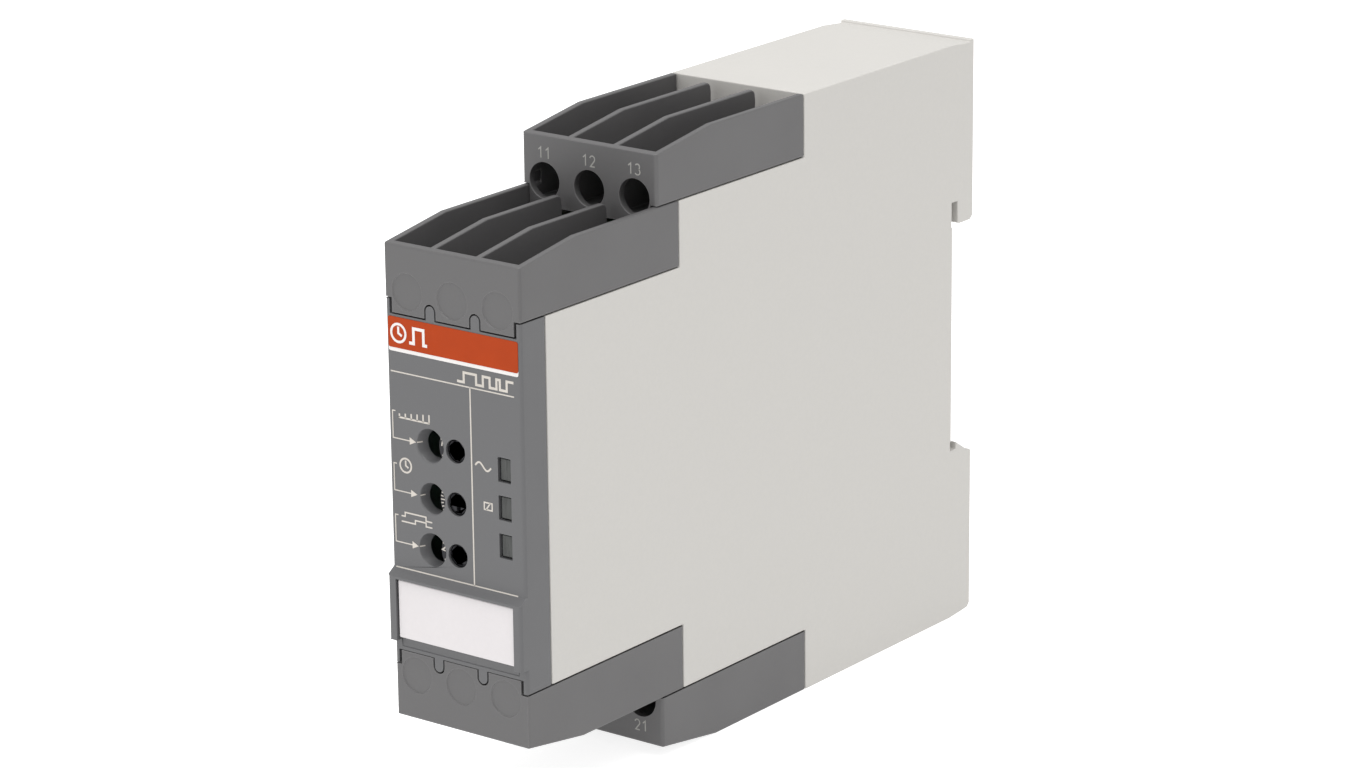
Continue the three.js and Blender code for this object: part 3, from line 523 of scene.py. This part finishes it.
SMALL_RADII = {
    "marker_label": 0.2 * MM,
    "board_connector": 0.06 * MM,
    "relay_contact_spring": 0.04 * MM,
    "relay_rest_contact": 0.05 * MM,
    "relay_work_contact": 0.05 * MM,
    "microcontroller": 0.05 * MM,
}
MADE_APART = ("housing", "front_cover", "accent_stripe", "rail_spring")
for node in sorted(frame["nodes"]):
    if node in MADE_APART or node.endswith("terminal_block"):
        continue
    radius = SMALL_RADII.get(node, SMALL_EDGE)
    finished(node, lambda middle, way, radius=radius: radius, radius, segments=2)


def pressed_spring():
    """The rail spring's strip, rounded, fixed to the timer's body and given a mesh of its own."""
    piece = finished("rail_spring", lambda middle, way: SEAM_EDGE, SEAM_EDGE, segments=2, body=ROOT_BODY)
    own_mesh(piece)


pressed_spring()

# ---------------------------------------------------------------- printing

INK = 0.03 * MM
INK_SLOT = "label_plastic"


def ribbon(points, width, closed=False):
    """The outline quads of a line of even width with mitred corners, in x and z."""
    points = [Vector(p) for p in points]
    count = len(points)
    sides = []
    for i, point in enumerate(points):
        before = points[i - 1] if closed or i > 0 else None
        after = points[(i + 1) % count] if closed or i < count - 1 else None
        into = (point - before).normalized() if before is not None else (after - point).normalized()
        out = (after - point).normalized() if after is not None else into
        normal_in = Vector((-into.y, into.x))
        normal_out = Vector((-out.y, out.x))
        miter = (normal_in + normal_out).normalized()
        reach = width / 2 / max(0.4, miter.dot(normal_in))
        sides.append((point + miter * reach, point - miter * reach))
    pairs = range(count if closed else count - 1)
    return [(sides[i][0], sides[i][1], sides[(i + 1) % count][1], sides[(i + 1) % count][0]) for i in pairs]


def arc(x, z, rx, rz, start, end, steps=12):
    """Points on an ellipse from one angle to another, in degrees."""
    turns = [math.radians(start + (end - start) * i / steps) for i in range(steps + 1)]
    return [(x + rx * math.cos(t), z + rz * math.sin(t)) for t in turns]


def printed(name, polygons, surface_y, body=ROOT_BODY, ink=CREAM_INK):
    """Ink on a surface that faces forwards: flat shapes in x and z, a hair thick."""
    build = bmesh.new()
    for polygon in polygons:
        build.faces.new([build.verts.new((p[0], surface_y + INK / 3, p[1])) for p in polygon])
    bmesh.ops.remove_doubles(build, verts=build.verts[:], dist=WELD / 10)
    raised = bmesh.ops.extrude_face_region(build, geom=build.faces[:])
    lifted = [g for g in raised["geom"] if isinstance(g, bmesh.types.BMVert)]
    bmesh.ops.translate(build, verts=lifted, vec=(0, -INK, 0))
    new_piece(name, mesh_from(build, name), body, INK_SLOT, ink)


# Strokes of the numerals and signs in a cell one unit high. Each is a list of (points, closed).
DIGITS = {
    "0": [(arc(0.3, 0.5, 0.28, 0.5, 0, 342, 19), True)],
    "1": [([(0.1, 0.76), (0.38, 1.0), (0.38, 0.0)], False)],
    "2": [(arc(0.3, 0.71, 0.28, 0.29, 165, -40) + [(0.1, 0.0), (0.58, 0.0)], False)],
    "3": [(arc(0.28, 0.75, 0.25, 0.25, 150, -80), False), (arc(0.28, 0.27, 0.29, 0.27, 80, -150), False)],
    "4": [([(0.46, 0.0), (0.46, 1.0), (0.02, 0.3), (0.64, 0.3)], False)],
    "5": [([(0.55, 1.0), (0.12, 1.0), (0.06, 0.56)] + arc(0.28, 0.32, 0.29, 0.32, 118, -150), False)],
    "6": [(arc(0.3, 0.3, 0.27, 0.3, 0, 342, 19), True), (arc(0.62, 0.36, 0.58, 0.64, 122, 178, 6), False)],
    "7": [([(0.04, 1.0), (0.58, 1.0), (0.2, 0.0)], False)],
    "8": [(arc(0.3, 0.76, 0.22, 0.24, 0, 340, 17), True), (arc(0.3, 0.27, 0.28, 0.27, 0, 340, 17), True)],
    "9": [(arc(0.3, 0.7, 0.27, 0.3, 0, 342, 19), True), (arc(-0.02, 0.64, 0.58, 0.64, -58, -2, 6), False)],
}
DIGIT_STEP = 0.85


def strokes_at(strokes, x, z, height, width):
    """Strokes of a sign, one unit high, at that height with its lower left corner at (x, z)."""
    polygons = []
    for points, closed in strokes:
        polygons += ribbon([(x + px * height, z + pz * height) for px, pz in points], width, closed)
    return polygons


def number(text, x, z, height, width):
    """The strokes of a whole number with its middle at (x, z)."""
    start = x - (DIGIT_STEP * (len(text) - 1) + 0.6) / 2 * height
    polygons = []
    for i, digit in enumerate(text):
        polygons += strokes_at(DIGITS[digit], start + i * DIGIT_STEP * height, z - height / 2, height, width)
    return polygons


def turned(polygons, centre_x, centre_z, degrees):
    """The polygons turned about a point, anticlockwise seen from the front."""
    cos, sin = math.cos(math.radians(degrees)), math.sin(math.radians(degrees))
    result = []
    for polygon in polygons:
        offsets = [(p[0] - centre_x, p[1] - centre_z) for p in polygon]
        result.append([(centre_x + cos * x - sin * z, centre_z + sin * x + cos * z) for x, z in offsets])
    return result


def pulses(x, z, width, height, edges):
    """A square wave whose edges stand at those fractions of its width."""
    points = [(x, z)]
    level = 0
    for edge in edges:
        points.append((x + edge * width, z + level * height))
        level = 1 - level
        points.append((x + edge * width, z + level * height))
    points.append((x + width, z + level * height))
    return points


CLOCK_FACE = [
    (arc(0.5, 0.5, 0.5, 0.5, 0, 345, 23), True),
    ([(0.5, 0.86), (0.5, 0.5), (0.74, 0.36)], False),
]

LINE = 0.17 * MM
BOLD = 0.34 * MM
RULE_LEFT = -10.55 * MM
RULE_RIGHT = 9.95 * MM
RULE_TOP = 15.2 * MM
RULE_BOTTOM = -11.57 * MM
DIVIDE_X = 2.7 * MM


def rules():
    """The two thin lines across the face and the one that parts the dials from the lamps."""
    return (
        ribbon([(RULE_LEFT, RULE_TOP), (RULE_RIGHT, RULE_TOP)], LINE)
        + ribbon([(RULE_LEFT, RULE_BOTTOM), (RULE_RIGHT, RULE_BOTTOM)], LINE)
        + ribbon([(DIVIDE_X, RULE_TOP), (DIVIDE_X, RULE_BOTTOM)], LINE * 1.2)
    )


BRACKET_X = -10.45 * MM
BRACKET_RISE = 3.7 * MM
BRACKET_TOP = 0.5 * MM
ARROW_X = -7.65 * MM
ARROW_TIP_X = -6.6 * MM
ARROW_HALF = 0.5 * MM
ARROW_LIFT = 0.05 * MM  # from a dial's axis up to its arrow


def bracket(z):
    """The line that leads from a dial's sign down to its window and ends in an arrow."""
    top = z + BRACKET_RISE
    line = [(BRACKET_X + BRACKET_TOP, top), (BRACKET_X, top), (BRACKET_X, z), (ARROW_X, z)]
    head = [(ARROW_X, z - ARROW_HALF), (ARROW_TIP_X, z), (ARROW_X, z + ARROW_HALF)]
    return ribbon(line, LINE * 0.9) + [head]


printed("face_rules", rules(), FACE_Y)
for name, dial in DIALS.items():
    printed(name + "_bracket", bracket(dial.z + ARROW_LIFT), FACE_Y)

SIGN = 0.24 * MM
FINE_SIGN = SIGN * 0.8
SIGN_X = -9.4 * MM
SIGN_WIDTH = 5.2 * MM
SIGN_RISE = 3.0 * MM  # from a dial's axis up to the foot of its sign
TICKS = 6


def range_sign(x, z):
    """A scale with ticks that grow."""
    marks = ribbon([(x, z), (x + SIGN_WIDTH, z)], SIGN)
    for i in range(TICKS):
        at = x + (0.12 + i) * MM
        marks += ribbon([(at, z), (at, z + (0.5 + 0.13 * i) * MM)], SIGN)
    return marks


def time_sign(x, z):
    """A clock face."""
    return strokes_at(CLOCK_FACE, x, z - 0.25 * MM, 1.9 * MM, SIGN)


def function_sign(x, z):
    """Two timing steps, one above the other."""
    upper = pulses(x, z + 0.75 * MM, SIGN_WIDTH, 0.55 * MM, (0.12, 0.8))
    lower = pulses(x, z, SIGN_WIDTH, 0.5 * MM, (0.45, 0.8))
    return ribbon(upper, FINE_SIGN) + ribbon(lower, FINE_SIGN)


DIAL_SIGNS = {"range": range_sign, "time": time_sign, "function": function_sign}
for name, sign in DIAL_SIGNS.items():
    printed(name + "_sign", sign(SIGN_X, DIALS[name].z + SIGN_RISE), FACE_Y)

TRAIN_X = 0.6 * MM
TRAIN_Z = RULE_TOP + 0.55 * MM
TRAIN_WIDTH = 9.3 * MM
TRAIN_HEIGHT = 1.3 * MM


def timing_sign():
    """A train of pulses, above the upper rule."""
    edges = (0.12, 0.34, 0.46, 0.58, 0.7, 0.76, 0.88)
    return ribbon(pulses(TRAIN_X, TRAIN_Z, TRAIN_WIDTH, TRAIN_HEIGHT, edges), BOLD)


def supply_sign(x, z):
    """One period of a sine wave."""
    width, height, steps = 2.6 * MM, 0.5 * MM, 16
    parts = [i / steps for i in range(steps + 1)]
    wave = [(x + part * width, z + math.sin(part * 2 * math.pi) * height) for part in parts]
    return ribbon(wave, SIGN)


def relay_sign(x, z):
    """A relay coil: a box with a slanted line."""
    width, half_height, inset = 1.3 * MM, 0.475 * MM, 0.3 * MM
    low, high = z - half_height, z + half_height
    outline = [(x, low), (x + width, low), (x + width, high), (x, high)]
    slant = [(x + inset, low), (x + width - inset, high)]
    return ribbon(outline, FINE_SIGN, closed=True) + ribbon(slant, FINE_SIGN)


printed("timing_sign", timing_sign(), FACE_Y)
printed("supply_sign", supply_sign(3.3 * MM, LAMPS["supply"].z - 0.1 * MM), FACE_Y)
printed("relay_sign", relay_sign(4.65 * MM, LAMPS["relay"].z - 0.2 * MM), FACE_Y)

# ---------------------------------------------------------------- stripe


BAND_CORNER = 0.3 * MM


def bridged(build, front, back):
    """Faces that close the solid between two rings of as many vertices."""
    build.faces.new(front)
    build.faces.new(list(reversed(back)))
    for i in range(len(front)):
        after = (i + 1) % len(front)
        build.faces.new((front[after], front[i], back[i], back[after]))


def band(name, low_z, high_z, slot, lift, material=None):
    """A thin film with rounded corners and a soft edge, laid on the face."""
    outline = []
    for x, z, start in ((1, 1, 0), (-1, 1, 90), (-1, -1, 180), (1, -1, 270)):
        middle_x = x * (STRIPE_HIGH.x - BAND_CORNER)
        middle_z = (high_z if z > 0 else low_z) - z * BAND_CORNER
        outline += arc(middle_x, middle_z, BAND_CORNER, BAND_CORNER, start, start + 90, 5)
    build = bmesh.new()
    front = [build.verts.new((x, FACE_Y - lift, z)) for x, z in outline]
    back = [build.verts.new((x, FACE_Y + lift / 3, z)) for x, z in outline]
    bridged(build, front, back)
    piece = new_piece(name, mesh_from(build, name), ROOT_BODY, slot, material)
    soft = piece.modifiers.new("soft_edge", "BEVEL")
    soft.width = lift * 0.4
    soft.segments = 2
    apply_modifiers(piece)
    return piece


FOIL = 0.09 * MM
UNDERLINE = 0.5 * MM
stripe = band("stripe_foil", STRIPE_LOW.z, STRIPE_HIGH.z, "stripe_foil", FOIL)
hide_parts("accent_stripe")
band("stripe_underline", STRIPE_LOW.z - UNDERLINE, STRIPE_LOW.z + UNDERLINE, INK_SLOT, FOIL / 2, WHITE_INK)


def stripe_sign(x, z, height):
    """A clock and a stepped pulse."""
    clock = strokes_at(CLOCK_FACE, x, z, height, BOLD)
    steps = pulses(x + height * 1.25, z + 0.2 * MM, height * 1.25, height - 0.4 * MM, (0.25, 0.8))
    return clock + ribbon(steps, 0.42 * MM)


stripe_marks = stripe_sign(-10.2 * MM, STRIPE_LOW.z + 0.85 * MM, 2.4 * MM)
printed("stripe_sign", stripe_marks, FACE_Y - FOIL, ink=WHITE_INK)

# ---------------------------------------------------------------- numerals

TERMINAL_MARK = 1.45 * MM
MARK_ABOVE = 3.8 * MM


def terminal_marks(half, names):
    """A number beside each of the three rear terminals."""
    for i, text in enumerate(names):
        screw = centre("%s_clamp_screw_%d" % (half, i + 1))
        up = 1 if screw.z > 0 else -1
        marks = number(text, screw.x, screw.z + up * MARK_ABOVE, TERMINAL_MARK, LINE)
        printed("%s_terminal_mark_%d" % (half, i + 1), marks, REAR_FACE_Y, ink=FAINT_INK)


terminal_marks("upper", ("11", "12", "13"))
terminal_marks("lower", ("21", "22", "23"))

BOSS_HEIGHT = 0.3 * MM
SCALE_R = 2.84 * MM
SCALE_RAISED = 13  # degrees by which the number in use stands above the arrow
NUMERAL_HEIGHT = 1.08 * MM
NUMERAL_STROKE = 0.2 * MM
DASH_HALF = 0.15 * MM
POSITIONS = 10


def on_dial(name, marks):
    """Prints a scale on a dial's disc, turning with it."""
    node = name + "_dial"
    printed(name + "_scale", marks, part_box(node)[0].y + BOSS_HEIGHT, body_of[node])


def numeral_scale(name, first):
    """Ten positions round a dial's disc, every other one numbered. At rest the second is in the window."""
    dial = DIALS[name]
    at = dial.x - SCALE_R
    step = 360 // POSITIONS
    marks = []
    for i in range(POSITIONS):
        if i % 2:
            sign = number(str((first + i) % POSITIONS), at, dial.z, NUMERAL_HEIGHT, NUMERAL_STROKE)
        else:
            sign = ribbon([(at - DASH_HALF, dial.z), (at + DASH_HALF, dial.z)], LINE)
        marks += turned(sign, dial.x, dial.z, step * (i - 1) - SCALE_RAISED)
    on_dial(name, marks)


TICK_STEP = 9  # degrees
TICK_COUNT = 31


def tick_scale(name):
    """A scale of ticks over three quarters of a dial's disc. At rest a third of it has passed the window."""
    dial = DIALS[name]
    marks = []
    for i in range(TICK_COUNT):
        inner = SCALE_R - (0.4 if i % 5 == 0 else 0.1) * MM
        outer = SCALE_R + 0.3 * MM
        tick = ribbon([(dial.x - inner, dial.z), (dial.x - outer, dial.z)], 0.16 * MM)
        marks += turned(tick, dial.x, dial.z, TICK_STEP * i - 90)
    on_dial(name, marks)


numeral_scale("range", 0)
tick_scale("time")
numeral_scale("function", 1)

# Each window is a round hole through the face wall. It keeps its right side and narrows inwards:
# (x of its right side, radius in front, radius behind).
WINDOWS = {
    "range": (-1.98 * MM, 2.28 * MM, 1.88 * MM),
    "time": (-1.95 * MM, 2.12 * MM, 1.87 * MM),
    "function": (-1.98 * MM, 2.28 * MM, 1.88 * MM),
}
FACE_WALL = 1.5 * MM
RIB_START = 0.1 * MM
RIB_LENGTH = 0.75 * MM
RIB_HALF = 0.1 * MM
RIB_SUNK = 0.05 * MM
RIB_HEIGHT = 0.11 * MM


def window_mark(name):
    """The arrow's line carried on as a fine rib down the slanting side of the window."""
    right, front_r, back_r = WINDOWS[name]
    run = Vector((2 * (front_r - back_r), FACE_WALL)).normalized()
    out = Vector((run.y, -run.x))
    start = Vector((right - 2 * front_r, FACE_Y)) + run * RIB_START
    z = DIALS[name].z + ARROW_LIFT
    build = bmesh.new()
    ends = []
    for along_run in (0, RIB_LENGTH):
        foot = start + run * along_run - out * RIB_SUNK
        crest = foot + out * RIB_HEIGHT
        section = ((foot, -1), (crest, -0.7), (crest, 0.7), (foot, 1))
        ends.append([build.verts.new((p.x, p.y, z + side * RIB_HALF)) for p, side in section])
    bridged(build, *ends)
    piece_name = name + "_window_mark"
    new_piece(piece_name, mesh_from(build, piece_name), ROOT_BODY, INK_SLOT, CREAM_INK)


for name in DIALS:
    window_mark(name)

# ---------------------------------------------------------------- floor, light and camera


def studio_floor():
    """A wide sheet of pale paper under the object."""
    reach = 3.0
    mesh = bpy.data.meshes.new("studio_floor")
    corners = [(x * reach, y * reach, FLOOR_Z) for x, y in ((-1, -1), (1, -1), (1, 1), (-1, 1))]
    mesh.from_pydata(corners, [], [(0, 1, 2, 3)])
    floor = bpy.data.objects.new("studio_floor", mesh)
    scene.collection.objects.link(floor)
    shader = Shader("studio_paper")
    tone = shader.noise(0.4, detail=2)
    shader.set(
        Base_Color=shader.mix(shader.remap(tone, 0, 1), (0.5, 0.5, 0.5), (0.52, 0.52, 0.52)),
        Roughness=0.9,
        Emission_Color=(1, 1, 1),
        Emission_Strength=0.82,
    )
    mesh.materials.append(shader.material)


def soft_light(name, offset, size, power):
    """A square area light that points at the middle of the object."""
    data = bpy.data.lights.new(name, "AREA")
    data.size = size
    data.energy = power
    light = bpy.data.objects.new(name, data)
    scene.collection.objects.link(light)
    light.location = MIDDLE + Vector(offset)
    light.rotation_euler = (-Vector(offset)).to_track_quat("-Z", "Y").to_euler()


def studio_light():
    """An even white room with a large light above and a weak one in front."""
    world = bpy.data.worlds.new("studio")
    world.use_nodes = True
    background = world.node_tree.nodes["Background"]
    background.inputs["Color"].default_value = (1, 1, 1, 1)
    background.inputs["Strength"].default_value = 0.84
    scene.world = world
    soft_light("top_softbox", (0.1, -0.15, 0.9), 0.8, 8.5)
    soft_light("front_softbox", (-0.15, -1.0, 0.25), 0.7, 2.3)


AZIMUTH = math.radians(37.28)
ELEVATION = math.radians(16.94)
ROLL = math.radians(-0.583)
DISTANCE = 642.8 * MM
AIM = MIDDLE + Vector((-1.9, -0.45, 2.35)) * MM


def photo_camera():
    """A long lens, a little above and to the right of the front."""
    back = Vector((
        math.sin(AZIMUTH) * math.cos(ELEVATION),
        -math.cos(AZIMUTH) * math.cos(ELEVATION),
        math.sin(ELEVATION),
    ))
    right = Vector((math.cos(AZIMUTH), math.sin(AZIMUTH), 0))
    up = back.cross(right)
    rolled_right = right * math.cos(ROLL) + up * math.sin(ROLL)
    rolled_up = up * math.cos(ROLL) - right * math.sin(ROLL)
    data = bpy.data.cameras.new("photo_camera")
    data.lens = 124.1
    data.sensor_width = 36
    data.clip_start = 0.01
    camera = bpy.data.objects.new("photo_camera", data)
    scene.collection.objects.link(camera)
    turn = Matrix((rolled_right, rolled_up, back)).transposed().to_4x4()
    camera.matrix_world = Matrix.Translation(AIM + back * DISTANCE) @ turn
    scene.camera = camera


studio_floor()
studio_light()
photo_camera()
scene.view_settings.view_transform = "Standard"
